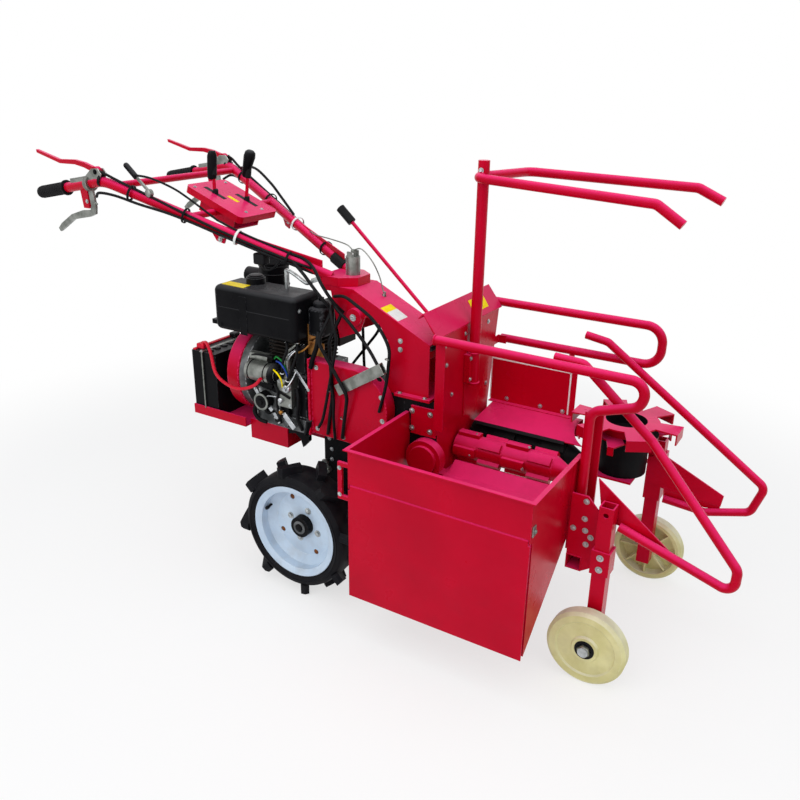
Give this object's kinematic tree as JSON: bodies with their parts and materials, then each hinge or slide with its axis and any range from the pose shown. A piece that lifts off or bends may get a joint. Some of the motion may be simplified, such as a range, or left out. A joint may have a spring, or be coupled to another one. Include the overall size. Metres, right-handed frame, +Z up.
{
  "type": "walk-behind corn harvester",
  "caption": "Two-wheeled walk-behind corn picker with engine, handlebar, snapping rolls, gathering wheel, stalk dividers and a side ear bin on small front gauge wheels.",
  "frame": {"origin": "middle of the machine's box on the ground", "axes": "+X forward to the header, +Y to the machine's left, +Z up"},
  "size_m": [2.0711, 0.761, 1.2],
  "materials": {
    "red_paint": "gloss enamel over welded sheet and tube",
    "tyre_rubber": "matt tyre rubber",
    "white_paint": "gloss bluish-white enamel",
    "black_paint": "satin black paint on castings",
    "cast_alloy": "bare cast alloy",
    "zinc_plate": "zinc-plated steel",
    "yellow_zinc": "yellow-passivated zinc",
    "black_plastic": "black moulded plastic",
    "sooty_steel": "heat-proof black paint",
    "black_rubber": "black rubber",
    "red_rubber": "red cable sleeve",
    "cream_plastic": "cream moulded nylon"
  },
  "bodies": {
    "chassis": {"clutch_cover": "red_paint", "recoil_cover": "red_paint", "engine_tray": "red_paint", "arch": "red_paint", "header_lever": "red_paint", "coupling_plate": "red_paint", "rear_wall": "red_paint", "hood": "red_paint", "mast": "red_paint", "rail_right": "red_paint", "rail_left": "red_paint", "divider_right": "red_paint", "divider_left": "red_paint", "header_frame": "red_paint", "guide_plates": "red_paint", "side_shield": "red_paint", "drive_guard": "red_paint", "ear_bin": "red_paint", "gauge_legs": "red_paint", "gearbox": "black_paint", "header_gearbox": "black_paint", "gathering_drum": "black_paint", "engine_block": "cast_alloy", "fan_housing": "cast_alloy", "starter_motor": "zinc_plate", "fuel_system": "zinc_plate", "side_bar": "zinc_plate", "tank_bracket": "yellow_zinc", "fuel_tank": "black_plastic", "air_filter": "black_plastic", "battery": "black_plastic", "muffler": "sooty_steel", "lever_grip": "black_rubber", "chassis_cables": "black_rubber", "battery_lead": "red_rubber"},
    "drive_wheel_right": {"tyre_right": "tyre_rubber", "rim_right": "white_paint", "hub_right": "black_paint"},
    "drive_wheel_left": {"tyre_left": "tyre_rubber", "rim_left": "white_paint", "hub_left": "black_paint"},
    "gauge_wheel_right": {"gauge_wheel_right": "cream_plastic"},
    "gauge_wheel_left": {"gauge_wheel_left": "cream_plastic"},
    "snap_roll_right": {"snap_roll_right": "red_paint"},
    "snap_roll_left": {"snap_roll_left": "black_paint"},
    "gathering_wheel": {"gathering_wheel": "red_paint"},
    "bin_door": {"bin_door": "red_paint"},
    "handlebar": {"handlebar": "red_paint", "grips": "black_rubber", "control_levers": "red_paint", "brake_levers": "zinc_plate", "shift_panel": "red_paint", "handlebar_cables": "black_rubber", "swivel_post": "zinc_plate"}
  },
  "joints": [
    {"name": "drive_right_spin", "type": "hinge", "parent": "chassis", "child": "drive_wheel_right", "pos_m": [-0.1105, -0.2405, 0.195], "axis": [0, 1, 0], "continuous": true},
    {"name": "drive_left_spin", "type": "hinge", "parent": "chassis", "child": "drive_wheel_left", "pos_m": [-0.1105, 0.2075, 0.195], "axis": [0, 1, 0], "continuous": true},
    {"name": "gauge_right_spin", "type": "hinge", "parent": "chassis", "child": "gauge_wheel_right", "pos_m": [0.7265, -0.1925, 0.1], "axis": [0, 1, 0], "continuous": true},
    {"name": "gauge_left_spin", "type": "hinge", "parent": "chassis", "child": "gauge_wheel_left", "pos_m": [0.7265, 0.3455, 0.1], "axis": [0, 1, 0], "continuous": true},
    {"name": "roll_right_spin", "type": "hinge", "parent": "chassis", "child": "snap_roll_right", "pos_m": [0.2345, 0.038, 0.432], "axis": [1, 0, 0], "continuous": true},
    {"name": "roll_left_spin", "type": "hinge", "parent": "chassis", "child": "snap_roll_left", "pos_m": [0.2345, 0.135, 0.432], "axis": [1, 0, 0], "continuous": true},
    {"name": "gathering_spin", "type": "hinge", "parent": "chassis", "child": "gathering_wheel", "pos_m": [0.6515, 0.2015, 0.5], "axis": [0, 0, 1], "continuous": true},
    {"name": "door_hinge", "type": "hinge", "parent": "chassis", "child": "bin_door", "pos_m": [0.382, -0.367, 0.4495], "axis": [-1, 0, 0], "range_deg": [0, 100]},
    {"name": "handlebar_swivel", "type": "hinge", "parent": "chassis", "child": "handlebar", "pos_m": [-0.0855, -0.0165, 0.86], "axis": [0, 0, 1], "range_deg": [-25, 25]}
  ],
  "couplings": [
    {"joint": "roll_left_spin", "follows": "roll_right_spin", "ratio": -1}
  ]
}
